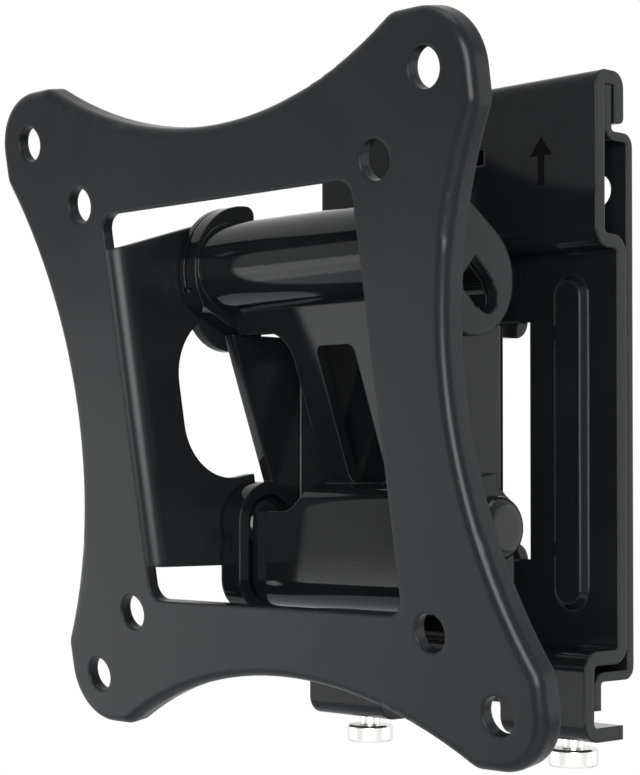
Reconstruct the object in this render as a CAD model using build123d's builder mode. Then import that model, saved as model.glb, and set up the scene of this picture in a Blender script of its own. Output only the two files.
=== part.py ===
"""Tilting wall bracket for a small screen, built from folded steel sheet.

A wall plate is screwed to the wall. A mount bracket hooks over its top lip and two lock
screws push up against its bottom ledge. Tongues of the mount bracket carry a yoke, and a
brace with a rolled top ties the yoke's cheeks together. The screen plate's ears turn on two
rivets through the yoke, which tilts the screen.

Everything is in millimetres. +X is to the right for someone who faces the screen, +Z is up,
and the wall is the plane Y = 0, so the room is at negative Y. "Reach" is the distance that
something stands out from the wall.
"""
import math
import os

from build123d import *

os.makedirs("parts", exist_ok=True)

# Screen plate: its place, its outline and its window
screen_tilt = 9.55
screen_reach = 62.35
screen_sheet = 2.2
screen_width = 118.0
screen_height = 118.7
screen_rim_depth = 4.5
screen_corner_radius = 10.2
waist_depth = 11.85
waist_shoulder = 15.5
waist_blend = 4.0
screen_edge_round = 1.8
screen_hole_radius = 3.25
screen_hole_spacings = (100.0, 75.0)
window_half_width = 31.8
window_half_height = 35.1
window_corner = 3.0

# Ears of the screen plate, in the plate's own depth and height
ear_inside = 29.4
ear_bend = 1.9
ear_root_half = 28.9
ear_peak = (25.3, 32.1)
ear_heel = (16.5, -31.7)
upper_lobe_centre = (26.6, 17.0)
upper_lobe_radius = 9.8
lower_lobe_radius = 6.2
ear_gap_start = 11.3
ear_gap_half = 15.5
ear_gap_middle = -0.6
ear_gap_corner = 11.6
ear_crown_radius = 3.5

# Square hole with a round end for an optional locking bolt, through each ear and the brace behind it
lock_hole_centre = (27.05, 16.17)
lock_hole_square = 6.3
lock_hole_end_radius = 2.7
lock_hole_end_offset = 3.64
lock_hole_angle = -52

# Tilt pivot and its rivets
pivot_setback = 28.5
pivot_height = -20.8
rivet_radius = 3.0
rivet_running_gap = 0.05
rivet_head_radius = 5.5
rivet_head_height = 2.7
rivet_tail_radius = 4.5
rivet_tail_height = 1.8
rivet_dome_round = 2.3
rivet_tail_slope = 0.8
rivet_head_gap = 0.1

# Yoke
yoke_sheet = 2.4
yoke_inside = 24.0
yoke_bend = 0.6
yoke_web_setback = 36.05
yoke_top = 14.2
yoke_web_bottom = -34.0
yoke_web_ear_top = 20.0
yoke_web_ear_width = 34.0
cheek_lean = 20.2
cheek_front_setback = 18.8
boss_radius = 7.9
boss_bottom = -37.0
boss_corner = 6.0
boss_running_gap = 0.3

# Brace
brace_sheet = 2.2
brace_bends = [1.6, 3.2, 3.9]
brace_behind_cheeks = 1.5
roll_radius = 8.2
roll_setback = 19.0
roll_height = 26.5
roll_open_angle = 25
roll_arc = 250
lobe_radius = 12.2
lobe_setback = 22.3
lobe_height = 26.0
lobe_inside = 24.4
lobe_gap = 0.4
lobe_chin_setback = 12.9
lobe_chin_height = 18.7
lobe_chin_lean = 26.8
horn_setback = 24.4
horn_bottom = 33.5
horn_slant = 51
horn_round = 1.8
lobe_slit_inside = 27.15
lobe_slit_width = 0.5
lobe_slit_depth = 2.0
lobe_slit_bottom = 22.0
lobe_notch_width = 2.4
lobe_notch_height = 0.8
neck_half_width = 11.2
neck_bottom = -13.5
neck_slot_half_width = 4.75
neck_slot_top = 11.2
neck_slot_bottom = -13.0
neck_slot_corner = 1.5
side_window_bottom = -18.4
side_window_corner = 5.0
side_window_headroom = 0.1
bar_setback = 23.9
bar_bottom = -36.1
bar_return_setback = 32.35

# Mount bracket
mount_sheet = 2.5
mount_width = 69.2
mount_bend = 0.95
mount_recess_gap = 0.3
mount_upper_reach = 10.45
mount_lower_reach = 13.75
mount_upper_step = 30.9
mount_lower_step = -42.6
mount_flange_bottom = -58.5
mount_flange_end = 3.2
mount_foot_inside = 15.1
mount_foot_top = -50.5
mount_foot_corner = 3.0
hook_tip_height = 50.6
hook_tip_round = 1.2
hook_leg_gap = 0.75
hook_bend = 0.3
tongue_width = 23.4
tongue_relief = 2.65
tongue_relief_height = 0.4
tongue_upper_top = 16.0
tongue_lower_top = -24.3
tongue_tab_width = 16.0
tongue_root = 4.0
tongue_tab_clearance = 0.1
rib_centre = 24.15
rib_width = 7.9
rib_top = 24.4
rib_bottom = -36.1
rib_rise = 1.4
rib_slope = 38
rib_wall = 1.2
level_slot_width = 16.8
level_slot_height = 2.7
level_slot_centre = 46.8

# Wall plate
wall_sheet = 1.65
wall_width = 69.0
wall_bend = 0.7
wall_lip_top = 57.35
wall_lip_reach = 7.5
wall_upper_step = 49.1
wall_lower_step = -46.35
wall_lower_lip_reach = 10.85
wall_lower_lip_end = -53.0
wall_window_half_width = 16.0
wall_window_top = 20.0
wall_window_bottom = -28.0
wall_window_corner = 3.0
wall_hole_radius = 3.0
wall_hole_half_spacing = 28.0
wall_hole_half_height = 39.5

# Lock screws
lock_screw_x = 25.6
lock_screw_reach = 6.0
lock_screw_radius = 2.0
lock_screw_running_gap = 0.05
lock_screw_tip_gap = 0.1
lock_screw_head_radius = 4.5
lock_screw_head_height = 3.2
lock_screw_head_gap = 2.0
lock_screw_head_edge = 0.4
lock_screw_recess = 1.0
lock_screw_recess_length = 5.0
lock_screw_recess_width = 1.2

# Long cuts run this far past what they cut
past = 1.0


def side(reach, height):
    """A point in the side view, from its distance out from the wall and its height."""
    return (-reach, height)


# The screen plate's own planes: its front face, and the inner face of its right ear
tilt = math.radians(screen_tilt)
toward_wall = (0, math.cos(tilt), math.sin(tilt))
toward_room = (0, -math.cos(tilt), -math.sin(tilt))
screen_centre = (0, -screen_reach, 0)
screen_plane = Plane(origin=screen_centre, x_dir=(1, 0, 0), z_dir=toward_room)
ear_plane = Plane(origin=(ear_inside, -screen_reach, 0), x_dir=toward_wall, z_dir=(1, 0, 0))

# The pivot in both frames
pivot_reach = screen_reach - pivot_setback
pivot_depth = pivot_setback * math.cos(tilt) + pivot_height * math.sin(tilt)
pivot_rise = pivot_height * math.cos(tilt) - pivot_setback * math.sin(tilt)

# The yoke and the brace keep their places behind the screen plate
yoke_web_reach = screen_reach - yoke_web_setback
cheek_front_reach = screen_reach - cheek_front_setback
roll_reach = screen_reach - roll_setback
lobe_reach = screen_reach - lobe_setback
bar_reach = screen_reach - bar_setback
bar_return_reach = screen_reach - bar_return_setback

# What the mount bracket takes from the wall plate that it hooks over
recess_back = wall_sheet + mount_recess_gap
hook_top = wall_lip_top + mount_sheet
hook_leg_front = wall_lip_reach - wall_sheet - hook_leg_gap
yoke_web_back = yoke_web_reach - yoke_sheet

# The brace's front face leans as the cheeks do, and stands behind their front edges
lean = math.radians(cheek_lean)
boss_face = ear_inside - boss_running_gap
lobe_outside = ear_inside - lobe_gap
side_window_top = yoke_top - side_window_headroom


def cheek_edge(height):
    """Reach of the cheeks' slanted front edge at a height."""
    return cheek_front_reach - (yoke_top - height) * math.tan(lean)


def neck_middle(height):
    """Reach of the middle of the brace's leaning sheet at a height."""
    return cheek_edge(height) - (brace_behind_cheeks + brace_sheet / 2) / math.cos(lean)


# Wall plate: a lip at the top for the hook, and a ledge and a lip at the bottom
half_wall = wall_sheet / 2
wall_path = [
    side(wall_lip_reach - half_wall, wall_lip_top),
    side(wall_lip_reach - half_wall, wall_upper_step - half_wall),
    side(half_wall, wall_upper_step - half_wall),
    side(half_wall, wall_lower_step - half_wall),
    side(wall_lower_lip_reach - half_wall, wall_lower_step - half_wall),
    side(wall_lower_lip_reach - half_wall, wall_lower_lip_end),
]
wall_window_height = wall_window_top - wall_window_bottom
wall_window_middle = (wall_window_top + wall_window_bottom) / 2
wall_hole_places = [
    (x, z)
    for x in (-wall_hole_half_spacing, wall_hole_half_spacing)
    for z in (-wall_hole_half_height, wall_hole_half_height)
]
with BuildPart() as wall_plate:
    with BuildSketch(Plane.YZ):
        with BuildLine():
            FilletPolyline(*wall_path, radius=wall_bend + half_wall)
        trace(line_width=wall_sheet)
    extrude(amount=wall_width / 2, both=True)
    with BuildSketch(Plane.XZ.offset(-past)):
        with Locations((0, wall_window_middle)):
            RectangleRounded(2 * wall_window_half_width, wall_window_height, wall_window_corner)
        with Locations(*wall_hole_places):
            Circle(wall_hole_radius)
    extrude(amount=wall_sheet + 2 * past, mode=Mode.SUBTRACT)

# Mount bracket: a hook, a hat-shaped section, and a bottom flange for the lock screws
half_mount = mount_sheet / 2
recess_middle = recess_back + half_mount
upper_middle = mount_upper_reach - half_mount
lower_middle = mount_lower_reach - half_mount
mount_path = [
    side(hook_leg_front - half_mount, hook_tip_height),
    side(hook_leg_front - half_mount, hook_top - half_mount),
    side(upper_middle, hook_top - half_mount),
    side(upper_middle, mount_upper_step - half_mount),
    side(recess_middle, mount_upper_step - half_mount),
    side(recess_middle, mount_lower_step - half_mount),
    side(lower_middle, mount_lower_step - half_mount),
    side(lower_middle, mount_flange_bottom + half_mount),
    side(mount_flange_end, mount_flange_bottom + half_mount),
]
hook_tip = side(hook_leg_front - mount_sheet, hook_tip_height)
mount_bends = [hook_bend] * 2 + [mount_bend] * (len(mount_path) - 4)
upper_tongue_middle = tongue_upper_top - half_mount
lower_tongue_middle = tongue_lower_top - half_mount
opening_top = tongue_upper_top + tongue_relief_height
opening_bottom = tongue_lower_top - mount_sheet - tongue_relief_height
opening_width = tongue_width + 2 * tongue_relief
mount_front = recess_back + mount_sheet
rib_height = rib_top - rib_bottom
rib_middle = (rib_top + rib_bottom) / 2
lock_screw_places = [(x, -lock_screw_reach) for x in (-lock_screw_x, lock_screw_x)]
with BuildPart() as mount_bracket:
    with BuildSketch(Plane.YZ) as mount_section:
        with BuildLine():
            FilletPolyline(*mount_path, radius=[bend + half_mount for bend in mount_bends])
        trace(line_width=mount_sheet)
        fillet(mount_section.vertices().sort_by_distance(hook_tip)[0], hook_tip_round)
    extrude(amount=mount_width / 2, both=True)
    with BuildSketch(Plane.XZ):
        with Locations((0, (opening_top + opening_bottom) / 2)):
            Rectangle(opening_width, opening_top - opening_bottom)
    extrude(amount=mount_front + past, mode=Mode.SUBTRACT)
    # The opening's own metal is bent out into an upper and a lower tongue
    for middle, root in (
        (upper_tongue_middle, opening_top + tongue_root),
        (lower_tongue_middle, opening_bottom - tongue_root),
    ):
        with BuildSketch(Plane.YZ):
            with BuildLine():
                FilletPolyline(
                    side(recess_middle, root),
                    side(recess_middle, middle),
                    side(yoke_web_back, middle),
                    radius=mount_bend + half_mount,
                )
            trace(line_width=mount_sheet)
        extrude(amount=tongue_width / 2, both=True)
        with BuildSketch(Plane.XZ.offset(yoke_web_back)):
            with Locations((0, middle)):
                Rectangle(tongue_tab_width, mount_sheet)
        extrude(amount=yoke_sheet)
    # Pressed ribs stiffen the recessed face, hollow behind
    with BuildSketch(Plane.XZ.offset(mount_front)):
        with Locations((-rib_centre, rib_middle), (rib_centre, rib_middle)):
            SlotOverall(rib_height, rib_width, rotation=90)
    extrude(amount=rib_rise, taper=rib_slope)
    with BuildSketch(Plane.XZ.offset(recess_back - past)):
        with Locations((-rib_centre, rib_middle), (rib_centre, rib_middle)):
            SlotOverall(rib_height - 2 * rib_wall, rib_width - 2 * rib_wall, rotation=90)
    extrude(amount=rib_rise + past, mode=Mode.SUBTRACT)
    # The lower face stops short between the feet that carry the lock screws
    with BuildSketch(Plane.XZ) as between_feet:
        with Locations((0, (mount_foot_top + mount_flange_bottom - past) / 2)):
            Rectangle(2 * mount_foot_inside, mount_foot_top - mount_flange_bottom + past)
        fillet(between_feet.vertices().group_by(Axis.Y)[-1], mount_foot_corner)
    extrude(amount=mount_lower_reach + past, mode=Mode.SUBTRACT)
    # Viewing slot for levelling, in the upper face
    with BuildSketch(Plane.XZ.offset(mount_upper_reach - mount_sheet - past)):
        with Locations((0, level_slot_centre)):
            Rectangle(level_slot_width, level_slot_height)
    extrude(amount=mount_sheet + 2 * past, mode=Mode.SUBTRACT)
    # Holes for the lock screws in the bottom flange
    with BuildSketch(Plane.XY.offset(mount_flange_bottom - past)):
        with Locations(*lock_screw_places):
            Circle(lock_screw_radius + lock_screw_running_gap)
    extrude(amount=mount_sheet + 2 * past, mode=Mode.SUBTRACT)

# Yoke: a channel trimmed to the cheeks' side view, with a pressed boss round each pivot
half_yoke = yoke_sheet / 2
yoke_wall = yoke_inside + half_yoke
web_middle = yoke_web_reach - half_yoke
channel_reach = cheek_front_reach + past
boss_height = pivot_height - boss_bottom
boss_front = pivot_reach + boss_radius
tab_hole_width = tongue_tab_width + 2 * tongue_tab_clearance
tab_hole_height = mount_sheet + 2 * tongue_tab_clearance
cheek_outline = [
    side(yoke_web_back, yoke_top),
    side(cheek_front_reach, yoke_top),
    side(cheek_edge(pivot_height), pivot_height),
    side(boss_front, pivot_height),
    side(boss_front, boss_bottom + boss_corner),
    side(pivot_reach, boss_bottom + boss_corner),
    side(pivot_reach, yoke_web_bottom),
    side(yoke_web_back, yoke_web_bottom),
]


def boss_sketch(inset):
    """The boss's outline, a round top and a square foot with rounded corners, drawn in by inset."""
    radius = boss_radius - inset
    foot = boss_height - inset
    with BuildSketch(Plane.YZ.offset(yoke_inside)) as outline:
        with Locations(side(pivot_reach, pivot_height - foot / 2)):
            Rectangle(2 * radius, foot)
        fillet(outline.vertices().group_by(Axis.Z)[0], boss_corner - inset)
        with Locations(side(pivot_reach, pivot_height)):
            Circle(radius)
    return outline.sketch


with BuildPart() as arm_yoke:
    with BuildSketch(Plane.XY.offset(boss_bottom)):
        with BuildLine():
            FilletPolyline(
                (-yoke_wall, -channel_reach),
                (-yoke_wall, -web_middle),
                (yoke_wall, -web_middle),
                (yoke_wall, -channel_reach),
                radius=yoke_bend + half_yoke,
            )
        trace(line_width=yoke_sheet)
    extrude(amount=yoke_top - boss_bottom)
    with BuildSketch(Plane.YZ):
        with BuildLine():
            Polyline(*cheek_outline, close=True)
        make_face()
        with Locations(side(pivot_reach, pivot_height)):
            Circle(boss_radius)
    extrude(amount=yoke_wall + yoke_sheet, both=True, mode=Mode.INTERSECT)
    # The pressed bosses bring the cheeks out to the ears, with a hollow inside
    extrude(boss_sketch(0), amount=boss_face - yoke_inside)
    extrude(boss_sketch(yoke_sheet), amount=boss_face - yoke_inside - yoke_sheet, mode=Mode.SUBTRACT)
    with BuildSketch(Plane.YZ.offset(yoke_inside)):
        with Locations(side(pivot_reach, pivot_height)):
            Circle(rivet_radius)
    extrude(amount=boss_face, mode=Mode.SUBTRACT)
    split(bisect_by=Plane.YZ)
    mirror(about=Plane.YZ)
    # The web stands higher in the middle, where the tongues' tabs pass through it
    with BuildSketch(Plane.XZ.offset(yoke_web_back)):
        with Locations((0, (yoke_web_ear_top + yoke_web_bottom) / 2)):
            Rectangle(yoke_web_ear_width, yoke_web_ear_top - yoke_web_bottom)
    extrude(amount=yoke_sheet)
    with BuildSketch(Plane.XZ.offset(yoke_web_back - past)):
        with Locations((0, upper_tongue_middle), (0, lower_tongue_middle)):
            Rectangle(tab_hole_width, tab_hole_height)
    extrude(amount=yoke_sheet + 2 * past, mode=Mode.SUBTRACT)

# Brace: a rolled top, a leaning neck with a slot, a ledge and a lower bar, folded from one sheet
half_brace = brace_sheet / 2
ledge_middle = neck_bottom - half_brace
bar_middle = bar_reach - half_brace
roll_middle = roll_radius - half_brace
neck_start = roll_height - roll_middle + brace_sheet / 4
brace_path = [
    side(neck_middle(neck_start), neck_start),
    side(neck_middle(ledge_middle), ledge_middle),
    side(bar_middle, ledge_middle),
    side(bar_middle, bar_bottom + half_brace),
    side(bar_return_reach, bar_bottom + half_brace),
]
side_window_width = yoke_inside - neck_half_width + side_window_corner + past
side_window_middle_x = neck_half_width + side_window_width / 2
side_window_height = side_window_top - side_window_bottom
side_window_middle = (side_window_top + side_window_bottom) / 2
side_window_places = [(x, side_window_middle) for x in (-side_window_middle_x, side_window_middle_x)]
slot_height = neck_slot_top - neck_slot_bottom
slot_middle = (neck_slot_top + neck_slot_bottom) / 2
chin_slope = math.tan(math.radians(lobe_chin_lean))
chin_reach = screen_reach - lobe_chin_setback
chin_foot = chin_reach - (lobe_chin_height - yoke_top) / chin_slope
chin_cut = [
    side(chin_reach + lobe_radius, lobe_chin_height + lobe_radius * chin_slope),
    side(chin_foot, yoke_top),
    side(yoke_web_back, yoke_top),
    side(yoke_web_back, boss_bottom),
    side(chin_reach + lobe_radius, boss_bottom),
]
horn_reach = screen_reach - horn_setback
horn_foot = horn_reach - (horn_bottom - yoke_top) / math.tan(math.radians(horn_slant))
horn_cut = [
    side(horn_reach, lobe_height + lobe_radius + past),
    side(horn_reach, horn_bottom),
    side(horn_foot, yoke_top),
    side(horn_foot, lobe_height + lobe_radius + past),
]
slit_front = lobe_reach + lobe_radius


def lock_hole_sketch(plane):
    """The lock hole on a side plane of the screen plate: a square on its corner, with a round end."""
    with BuildSketch(plane) as hole:
        with Locations(Location(lock_hole_centre, lock_hole_angle)):
            Rectangle(lock_hole_square, lock_hole_square)
            with Locations((lock_hole_end_offset, 0)):
                Circle(lock_hole_end_radius)
    return hole.sketch


with BuildPart() as front_brace:
    with BuildSketch(Plane.YZ):
        with BuildLine():
            FilletPolyline(*brace_path, radius=brace_bends)
        trace(line_width=brace_sheet)
    extrude(amount=yoke_inside, both=True)
    # Open windows beside the neck, and the slot down its middle
    with BuildSketch(Plane.XZ):
        with Locations(*side_window_places):
            RectangleRounded(side_window_width, side_window_height, side_window_corner)
        with Locations((0, slot_middle)):
            RectangleRounded(2 * neck_slot_half_width, slot_height, neck_slot_corner)
    extrude(amount=screen_reach, mode=Mode.SUBTRACT)
    with BuildSketch(Plane.YZ):
        with BuildLine():
            CenterArc(side(roll_reach, roll_height), roll_middle, roll_open_angle, roll_arc)
        trace(line_width=brace_sheet)
    extrude(amount=lobe_inside, both=True)
    # Lobes at the roll's ends stand beside the ears and rest on the cheeks, with a horn behind the top
    with BuildSketch(Plane.YZ.offset(lobe_inside)) as lobe:
        with Locations(side(lobe_reach, lobe_height)):
            Circle(lobe_radius)
        with BuildLine():
            Polyline(*horn_cut, close=True)
        make_face(mode=Mode.SUBTRACT)
        fillet(lobe.vertices().sort_by(Axis.Y)[-1], horn_round)
        with BuildLine():
            Polyline(*chin_cut, close=True)
        make_face(mode=Mode.SUBTRACT)
    extrude(amount=lobe_outside - lobe_inside)
    # A slit round each lobe's front, with a relief notch at its lower end
    with BuildSketch(Plane.YZ.offset(lobe_slit_inside)):
        with Locations(side(lobe_reach, lobe_height)):
            Circle(lobe_radius + past)
            Circle(lobe_radius - lobe_slit_depth, mode=Mode.SUBTRACT)
        with Locations(side(lobe_reach, lobe_slit_bottom - lobe_radius)):
            Rectangle(4 * lobe_radius, 2 * lobe_radius, mode=Mode.SUBTRACT)
        with Locations(side(horn_reach - 2 * lobe_radius, lobe_height)):
            Rectangle(4 * lobe_radius, 4 * lobe_radius, mode=Mode.SUBTRACT)
    extrude(amount=lobe_slit_width, mode=Mode.SUBTRACT)
    with BuildSketch(Plane.YZ.offset(lobe_slit_inside + (lobe_slit_width - lobe_notch_width) / 2)):
        with Locations(side(slit_front - lobe_slit_depth / 2, lobe_slit_bottom)):
            Rectangle(lobe_slit_depth, lobe_notch_height)
    extrude(amount=lobe_notch_width, mode=Mode.SUBTRACT)
    extrude(lock_hole_sketch(ear_plane), amount=lobe_inside - ear_inside, mode=Mode.SUBTRACT)
    split(bisect_by=Plane.YZ)
    mirror(about=Plane.YZ)

# Ears of the screen plate: one folded strip each side, trimmed to the ear's side view
half_screen = screen_sheet / 2
ear_middle = ear_inside + half_screen
ear_outside = ear_inside + screen_sheet
ear_root = ear_outside + ear_bend + past
ear_length = upper_lobe_centre[0] + upper_lobe_radius + past
ear_gap_length = ear_length - ear_gap_start + ear_gap_corner
diagonal = upper_lobe_radius * math.sqrt(0.5)
ear_body = [
    (0, ear_root_half),
    ear_peak,
    (upper_lobe_centre[0] + diagonal, upper_lobe_centre[1] + diagonal),
    upper_lobe_centre,
    (pivot_depth + lower_lobe_radius / 3, pivot_rise + lower_lobe_radius),
    (pivot_depth, pivot_rise),
    (pivot_depth, pivot_rise - lower_lobe_radius),
    ear_heel,
    (0, -ear_root_half),
]
fold_plane = Plane(origin=screen_centre, x_dir=(1, 0, 0), z_dir=(0, -math.sin(tilt), math.cos(tilt)))
with BuildPart() as ears:
    with BuildSketch(fold_plane):
        with BuildLine():
            FilletPolyline(
                (ear_root, half_screen),
                (ear_middle, half_screen),
                (ear_middle, ear_length),
                radius=ear_bend + half_screen,
            )
        trace(line_width=screen_sheet)
    extrude(amount=screen_height / 2, both=True)
    with BuildSketch(ear_plane.offset(-past)):
        with BuildLine():
            Polyline(*ear_body, close=True)
        ear_face = make_face()
        fillet(ear_face.vertices().sort_by(Axis.Y)[-1], ear_crown_radius)
        with Locations((ear_gap_start + ear_gap_length / 2, ear_gap_middle)):
            RectangleRounded(ear_gap_length, 2 * ear_gap_half, ear_gap_corner, mode=Mode.SUBTRACT)
        with Locations(upper_lobe_centre):
            Circle(upper_lobe_radius)
        with Locations((pivot_depth, pivot_rise)):
            Circle(lower_lobe_radius)
            Circle(rivet_radius + rivet_running_gap, mode=Mode.SUBTRACT)
        add(lock_hole_sketch(Plane.XY), mode=Mode.SUBTRACT)
    extrude(amount=screen_sheet + ear_bend + 3 * past, mode=Mode.INTERSECT)
    mirror(about=Plane.YZ)

# Screen plate: pressed sheet with a rim round its four concave sides, a window and its ears
half_width = screen_width / 2
half_height = screen_height / 2


def waist_arc(half_across, half_along):
    """Radius of a concave side's arc, and how far its centre is from the plate's middle."""
    half_chord = half_along - waist_shoulder
    radius = (half_chord**2 + waist_depth**2) / (2 * waist_depth)
    return radius, half_across - waist_depth + radius


def is_waist_end(vertex):
    """Whether an outline vertex is where a waist's arc ends, not where a rounded corner does."""
    from_corner = max(half_width - abs(vertex.X), half_height - abs(vertex.Y))
    return from_corner > (screen_corner_radius + waist_shoulder) / 2


side_radius, side_centre = waist_arc(half_width, half_height)
end_radius, end_centre = waist_arc(half_height, half_width)
with BuildPart() as screen_plate:
    with BuildSketch(screen_plane) as outline:
        Rectangle(screen_width, screen_height)
        fillet(outline.vertices(), screen_corner_radius)
        with Locations((-side_centre, 0), (side_centre, 0)):
            Circle(side_radius, mode=Mode.SUBTRACT)
        with Locations((0, -end_centre), (0, end_centre)):
            Circle(end_radius, mode=Mode.SUBTRACT)
        waist_ends = outline.vertices().filter_by(is_waist_end)
        fillet(waist_ends, waist_blend)
    extrude(amount=-screen_rim_depth)
    front_face = screen_plate.faces().sort_by(Axis(screen_centre, toward_room))[-1]
    fillet(front_face.edges(), screen_edge_round)
    with BuildSketch(screen_plane.offset(-screen_sheet)):
        add(outline.sketch_local)
        offset(amount=-screen_sheet, mode=Mode.REPLACE)
    extrude(amount=-screen_rim_depth, mode=Mode.SUBTRACT)
    with BuildSketch(screen_plane.offset(past)):
        RectangleRounded(2 * window_half_width, 2 * window_half_height, window_corner)
        for spacing in screen_hole_spacings:
            with GridLocations(spacing, spacing, 2, 2):
                Circle(screen_hole_radius)
    extrude(amount=-screen_rim_depth, mode=Mode.SUBTRACT)
    add(ears.part)

# Rivets: formed head in the boss, plain shank for the ear, domed head outside
with BuildPart() as pivot_rivet_right:
    with BuildSketch(Plane.YZ.offset(boss_face - yoke_sheet)):
        with Locations(side(pivot_reach, pivot_height)):
            Circle(rivet_tail_radius)
    extrude(amount=-rivet_tail_height)
    chamfer(pivot_rivet_right.edges().sort_by(Axis.X)[0], rivet_tail_slope)
    with BuildSketch(Plane.YZ.offset(boss_face - yoke_sheet)):
        with Locations(side(pivot_reach, pivot_height)):
            Circle(rivet_radius)
    extrude(amount=ear_outside + rivet_head_gap - boss_face + yoke_sheet)
    with BuildSketch(Plane.YZ.offset(ear_outside + rivet_head_gap)):
        with Locations(side(pivot_reach, pivot_height)):
            Circle(rivet_head_radius)
    extrude(amount=rivet_head_height)
    fillet(pivot_rivet_right.edges().sort_by(Axis.X)[-1], rivet_dome_round)
with BuildPart() as pivot_rivet_left:
    add(pivot_rivet_right.part)
    mirror(about=Plane.YZ, mode=Mode.REPLACE)

# Lock screws: round head under the flange, shank up to the underside of the wall plate's ledge
head_top = mount_flange_bottom - lock_screw_head_gap
shank_top = wall_lower_step - wall_sheet - lock_screw_tip_gap
with BuildPart() as lock_screw_right:
    with BuildSketch(Plane.XY.offset(head_top)):
        with Locations((lock_screw_x, -lock_screw_reach)):
            Circle(lock_screw_head_radius)
    extrude(amount=-lock_screw_head_height)
    chamfer(lock_screw_right.edges().filter_by(GeomType.CIRCLE), lock_screw_head_edge)
    with BuildSketch(Plane.XY.offset(head_top)):
        with Locations((lock_screw_x, -lock_screw_reach)):
            Circle(lock_screw_radius)
    extrude(amount=shank_top - head_top)
    with BuildSketch(Plane.XY.offset(head_top - lock_screw_head_height)):
        with Locations((lock_screw_x, -lock_screw_reach)):
            Rectangle(lock_screw_recess_length, lock_screw_recess_width)
            Rectangle(lock_screw_recess_width, lock_screw_recess_length)
    extrude(amount=lock_screw_recess, mode=Mode.SUBTRACT)
with BuildPart() as lock_screw_left:
    add(lock_screw_right.part)
    mirror(about=Plane.YZ, mode=Mode.REPLACE)

pieces = {
    "wall_plate": wall_plate,
    "mount_bracket": mount_bracket,
    "arm_yoke": arm_yoke,
    "front_brace": front_brace,
    "screen_plate": screen_plate,
    "pivot_rivet_left": pivot_rivet_left,
    "pivot_rivet_right": pivot_rivet_right,
    "lock_screw_left": lock_screw_left,
    "lock_screw_right": lock_screw_right,
}
for name, piece in pieces.items():
    piece.part.label = name
    export_step(piece.part, f"parts/{name}.step")
    print(name, piece.part.is_valid, len(piece.part.solids()), round(piece.part.volume))
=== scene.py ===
"""Looks of the tilting wall bracket: black coated steel, bright lock screws, an up arrow on the
mount bracket, soft studio lamps, a pale floor and the camera at the photo's angle."""

import math

import bpy
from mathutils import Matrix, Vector


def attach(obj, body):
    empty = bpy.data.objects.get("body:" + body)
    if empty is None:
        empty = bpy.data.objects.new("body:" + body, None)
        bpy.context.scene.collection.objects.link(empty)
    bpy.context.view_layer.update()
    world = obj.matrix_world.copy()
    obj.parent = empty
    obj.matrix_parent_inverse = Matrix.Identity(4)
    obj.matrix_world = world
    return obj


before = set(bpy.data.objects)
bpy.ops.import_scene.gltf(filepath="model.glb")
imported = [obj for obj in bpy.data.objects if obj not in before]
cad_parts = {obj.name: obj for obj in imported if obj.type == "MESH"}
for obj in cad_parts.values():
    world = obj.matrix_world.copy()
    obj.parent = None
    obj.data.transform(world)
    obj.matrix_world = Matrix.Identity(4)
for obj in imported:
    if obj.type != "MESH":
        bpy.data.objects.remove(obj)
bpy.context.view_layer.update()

MM = 0.001

# The camera stands in front and to the right of the screen plate, a little below its middle
CAMERA_PLACE = Vector((266.04, -299.55, -12.97)) * MM
CAMERA_YAW = math.radians(46.18)
CAMERA_PITCH = math.radians(1.176)
CAMERA_LENS = 97.54
CAMERA_SHIFT_Y = 0.0661

# Up arrow on the mount bracket's upper face
MOUNT_UPPER_REACH = 10.45
ARROW_X = 22.1
ARROW_BOTTOM = 40.3
ARROW_TOP = 49.0
ARROW_HEAD_LENGTH = 3.4
ARROW_HEAD_WIDTH = 5.2
ARROW_SHAFT_WIDTH = 1.5
ARROW_THICKNESS = 0.05

# Colours, in linear values
PLATE_BLACK = (0.0058, 0.0061, 0.0067)
# Mount, wall plate and yoke black: partly their coat's own deeper black, partly painted shade, set
# darker than the plate so these parts read dark where they lie behind the plate and brace
MOUNT_BLACK_AND_PAINTED_SHADE = (0.0042, 0.0044, 0.0048)
BRACE_BLACK = (0.0045, 0.0047, 0.0051)
RIVET_BLACK = (0.0058, 0.0060, 0.0065)
NICKEL_WHITE = (0.78, 0.77, 0.74)
INK_BLACK = (0.0015, 0.0015, 0.0018)
FLOOR_GREY = (0.9, 0.9, 0.9)
WORLD_WHITE = (1, 1, 1, 1)
WORLD_BLUE = (0.9, 0.93, 1.0, 1)
WORLD_LIGHT = 0.45

# Grain of the coats: noise scale, and how far colour and roughness stray
COAT_GRAIN = 2600.0
NICKEL_GRAIN = 1800.0
CLOUD_RATIO = 40
ROUGHNESS_SPREAD = 0.05
BUMP_DEPTH = 0.05
BEVEL_SAMPLES = 6

# Edge radii that the shading rounds the sheets by
SHEET_EDGE = 0.35
PLATE_EDGE = 0.8
MOUNT_EDGE = 0.6
SCREW_EDGE = 0.25

FLOOR_SIZE = 1.6
FLOOR_PLACE = (0, -0.1, -0.35)


def node(tree, kind, **inputs):
    """A shader node with its named inputs set."""
    made = tree.nodes.new(kind)
    for name, value in inputs.items():
        made.inputs[name.replace("_", " ")].default_value = value
    return made


def new_material(name, color, roughness, metallic=0.0):
    """A material with its Principled shader, ready for detail."""
    material = bpy.data.materials.new(name)
    material.use_nodes = True
    shader = material.node_tree.nodes["Principled BSDF"]
    shader.inputs["Base Color"].default_value = (*color, 1.0)
    shader.inputs["Roughness"].default_value = roughness
    shader.inputs["Metallic"].default_value = metallic
    return material, shader


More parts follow.
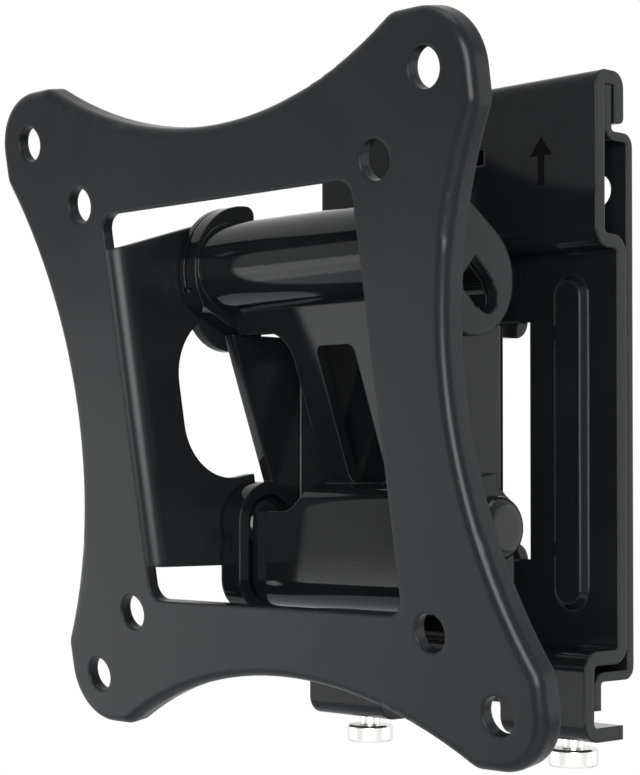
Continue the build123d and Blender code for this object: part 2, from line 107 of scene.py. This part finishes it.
def add_grain(material, shader, color, scale, bump, spread):
    """Fine grain in a coat: a little variation in colour and roughness, and a shallow bump."""
    tree = material.node_tree
    place = tree.nodes.new("ShaderNodeTexCoord")
    grain = node(tree, "ShaderNodeTexNoise", Scale=scale, Detail=4.0, Roughness=0.6)
    cloud = node(tree, "ShaderNodeTexNoise", Scale=scale / CLOUD_RATIO, Detail=3.0, Roughness=0.5)
    tree.links.new(place.outputs["Object"], grain.inputs["Vector"])
    tree.links.new(place.outputs["Object"], cloud.inputs["Vector"])
    ramp = tree.nodes.new("ShaderNodeValToRGB")
    ramp.color_ramp.elements[0].position = 0.3
    ramp.color_ramp.elements[1].position = 0.7
    ramp.color_ramp.elements[0].color = (*[c * (1 - spread) for c in color], 1)
    ramp.color_ramp.elements[1].color = (*[c * (1 + spread) for c in color], 1)
    tree.links.new(cloud.outputs["Fac"], ramp.inputs["Fac"])
    tree.links.new(ramp.outputs["Color"], shader.inputs["Base Color"])
    rough = node(tree, "ShaderNodeMapRange")
    base = shader.inputs["Roughness"].default_value
    rough.inputs["To Min"].default_value = base - ROUGHNESS_SPREAD
    rough.inputs["To Max"].default_value = base + ROUGHNESS_SPREAD
    tree.links.new(cloud.outputs["Fac"], rough.inputs["Value"])
    tree.links.new(rough.outputs["Result"], shader.inputs["Roughness"])
    relief = node(tree, "ShaderNodeBump", Strength=bump, Distance=BUMP_DEPTH * MM)
    tree.links.new(grain.outputs["Fac"], relief.inputs["Height"])
    tree.links.new(relief.outputs["Normal"], shader.inputs["Normal"])
    return relief


def round_edges(material, relief, radius):
    """Softened edges, which catch the light as the coat's own do."""
    bevel = node(material.node_tree, "ShaderNodeBevel", Radius=radius * MM)
    bevel.samples = BEVEL_SAMPLES
    material.node_tree.links.new(bevel.outputs["Normal"], relief.inputs["Normal"])


def coated_steel(name, color, roughness, shine, edge=SHEET_EDGE):
    """Black coated steel, with fine grain and softened edges. Its shine sets how bright the
    white surroundings show in it."""
    material, shader = new_material(name, color, roughness)
    shader.inputs["Specular IOR Level"].default_value = shine
    relief = add_grain(material, shader, color, COAT_GRAIN, bump=0.12, spread=0.12)
    round_edges(material, relief, edge)
    return material


PLATE_STEEL = coated_steel("plate_steel", PLATE_BLACK, 0.26, 0.12, PLATE_EDGE)
# mount_steel carries the mount black with its painted shade
MOUNT_STEEL = coated_steel("mount_steel", MOUNT_BLACK_AND_PAINTED_SHADE, 0.06, 0.12, MOUNT_EDGE)
BRACE_STEEL = coated_steel("brace_steel", BRACE_BLACK, 0.06, 0.20)
RIVET_STEEL = coated_steel("rivet_steel", RIVET_BLACK, 0.12, 0.17)

NICKEL, nickel_shader = new_material("nickel", NICKEL_WHITE, 0.26, metallic=1.0)
nickel_relief = add_grain(NICKEL, nickel_shader, NICKEL_WHITE, NICKEL_GRAIN, bump=0.1, spread=0.05)
round_edges(NICKEL, nickel_relief, SCREW_EDGE)

ARROW_INK, ink_shader = new_material("arrow_ink", INK_BLACK, 0.6)
ink_shader.inputs["Specular IOR Level"].default_value = 0.03
add_grain(ARROW_INK, ink_shader, INK_BLACK, COAT_GRAIN, bump=0.2, spread=0.2)

NODE_MATERIALS = {
    "screen_plate": PLATE_STEEL,
    "wall_plate": MOUNT_STEEL,
    "mount_bracket": MOUNT_STEEL,
    "arm_yoke": MOUNT_STEEL,
    "front_brace": BRACE_STEEL,
    "pivot_rivet_left": RIVET_STEEL,
    "pivot_rivet_right": RIVET_STEEL,
    "lock_screw_left": NICKEL,
    "lock_screw_right": NICKEL,
}
for name, material in NODE_MATERIALS.items():
    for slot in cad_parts[name].material_slots:
        slot.material = material

# Up arrow, a thin dark mark on the mount bracket's upper face
front = -MOUNT_UPPER_REACH * MM
head_bottom = ARROW_TOP - ARROW_HEAD_LENGTH
arrow_outline = [
    (ARROW_X - ARROW_SHAFT_WIDTH / 2, ARROW_BOTTOM),
    (ARROW_X + ARROW_SHAFT_WIDTH / 2, ARROW_BOTTOM),
    (ARROW_X + ARROW_SHAFT_WIDTH / 2, head_bottom),
    (ARROW_X + ARROW_HEAD_WIDTH / 2, head_bottom),
    (ARROW_X, ARROW_TOP),
    (ARROW_X - ARROW_HEAD_WIDTH / 2, head_bottom),
    (ARROW_X - ARROW_SHAFT_WIDTH / 2, head_bottom),
]
count = len(arrow_outline)
arrow_points = [
    (x * MM, y, z * MM)
    for y in (front, front - ARROW_THICKNESS * MM)
    for x, z in arrow_outline
]
arrow_faces = [tuple(range(count, 2 * count)), tuple(reversed(range(count)))]
arrow_faces += [(i, (i + 1) % count, (i + 1) % count + count, i + count) for i in range(count)]
arrow_mesh = bpy.data.meshes.new("up_arrow")
arrow_mesh.from_pydata(arrow_points, [], arrow_faces)
arrow_mesh.validate()
arrow_mesh.materials.append(ARROW_INK)
arrow = bpy.data.objects.new("up_arrow", arrow_mesh)
bpy.context.collection.objects.link(arrow)
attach(arrow, "bracket")

# Camera at the photo's viewing angle
forward = Vector((
    -math.sin(CAMERA_YAW) * math.cos(CAMERA_PITCH),
    math.cos(CAMERA_YAW) * math.cos(CAMERA_PITCH),
    math.sin(CAMERA_PITCH),
))
camera_data = bpy.data.cameras.new("camera")
camera_data.lens = CAMERA_LENS
camera_data.shift_y = CAMERA_SHIFT_Y
camera_data.clip_start = 0.01
camera = bpy.data.objects.new("camera", camera_data)
camera.location = CAMERA_PLACE
camera.rotation_euler = forward.to_track_quat("-Z", "Y").to_euler()
bpy.context.collection.objects.link(camera)
bpy.context.scene.camera = camera


def area_light(name, place, target, size, power, height=None):
    """A soft lamp that faces a point: a square panel, or one of its own height."""
    data = bpy.data.lights.new(name, "AREA")
    data.size = size
    if height is not None:
        data.shape = "RECTANGLE"
        data.size_y = height
    data.energy = power
    lamp = bpy.data.objects.new(name, data)
    lamp.location = place
    lamp.rotation_euler = (Vector(target) - Vector(place)).to_track_quat("-Z", "Y").to_euler()
    bpy.context.collection.objects.link(lamp)


area_light("low", (-0.54, -0.42, -0.205), (0, -0.06, -0.02), 0.47, 0.92, 0.3)
area_light("front", (0.40, -0.46, 0.06), (0, -0.05, 0), 0.3, 8.0, 0.5)
area_light("side", (0.55, 0.50, 0.05), (0, -0.05, 0), 0.6, 1.6, 0.6)
area_light("top", (0.1, -0.1, 0.9), (0, -0.03, 0), 0.5, 2.5)

# White surroundings for the camera and for reflections, and a softer light on the object
world = bpy.data.worlds.new("world")
bpy.context.scene.world = world
world.use_nodes = True
tree = world.node_tree
tree.nodes.clear()
rays = tree.nodes.new("ShaderNodeLightPath")
seen = tree.nodes.new("ShaderNodeBackground")
seen.inputs["Color"].default_value = WORLD_WHITE
lit = tree.nodes.new("ShaderNodeBackground")
lit.inputs["Color"].default_value = WORLD_BLUE
lit.inputs["Strength"].default_value = WORLD_LIGHT
mix = tree.nodes.new("ShaderNodeMixShader")
output = tree.nodes.new("ShaderNodeOutputWorld")
clear = tree.nodes.new("ShaderNodeMath")
clear.operation = "MAXIMUM"
direct = tree.nodes.new("ShaderNodeMath")
direct.operation = "MAXIMUM"
tree.links.new(rays.outputs["Is Camera Ray"], clear.inputs[0])
tree.links.new(rays.outputs["Is Transmission Ray"], clear.inputs[1])
tree.links.new(clear.outputs[0], direct.inputs[0])
tree.links.new(rays.outputs["Is Glossy Ray"], direct.inputs[1])
tree.links.new(direct.outputs[0], mix.inputs["Fac"])
tree.links.new(lit.outputs[0], mix.inputs[1])
tree.links.new(seen.outputs[0], mix.inputs[2])
tree.links.new(mix.outputs[0], output.inputs["Surface"])

# Pale floor well below the bracket
floor_material, _ = new_material("floor", FLOOR_GREY, 0.9)
bpy.ops.mesh.primitive_plane_add(size=FLOOR_SIZE, location=FLOOR_PLACE)
floor = bpy.context.object
floor.name = "floor"
floor.data.materials.append(floor_material)

bpy.context.scene.view_settings.view_transform = "Standard"
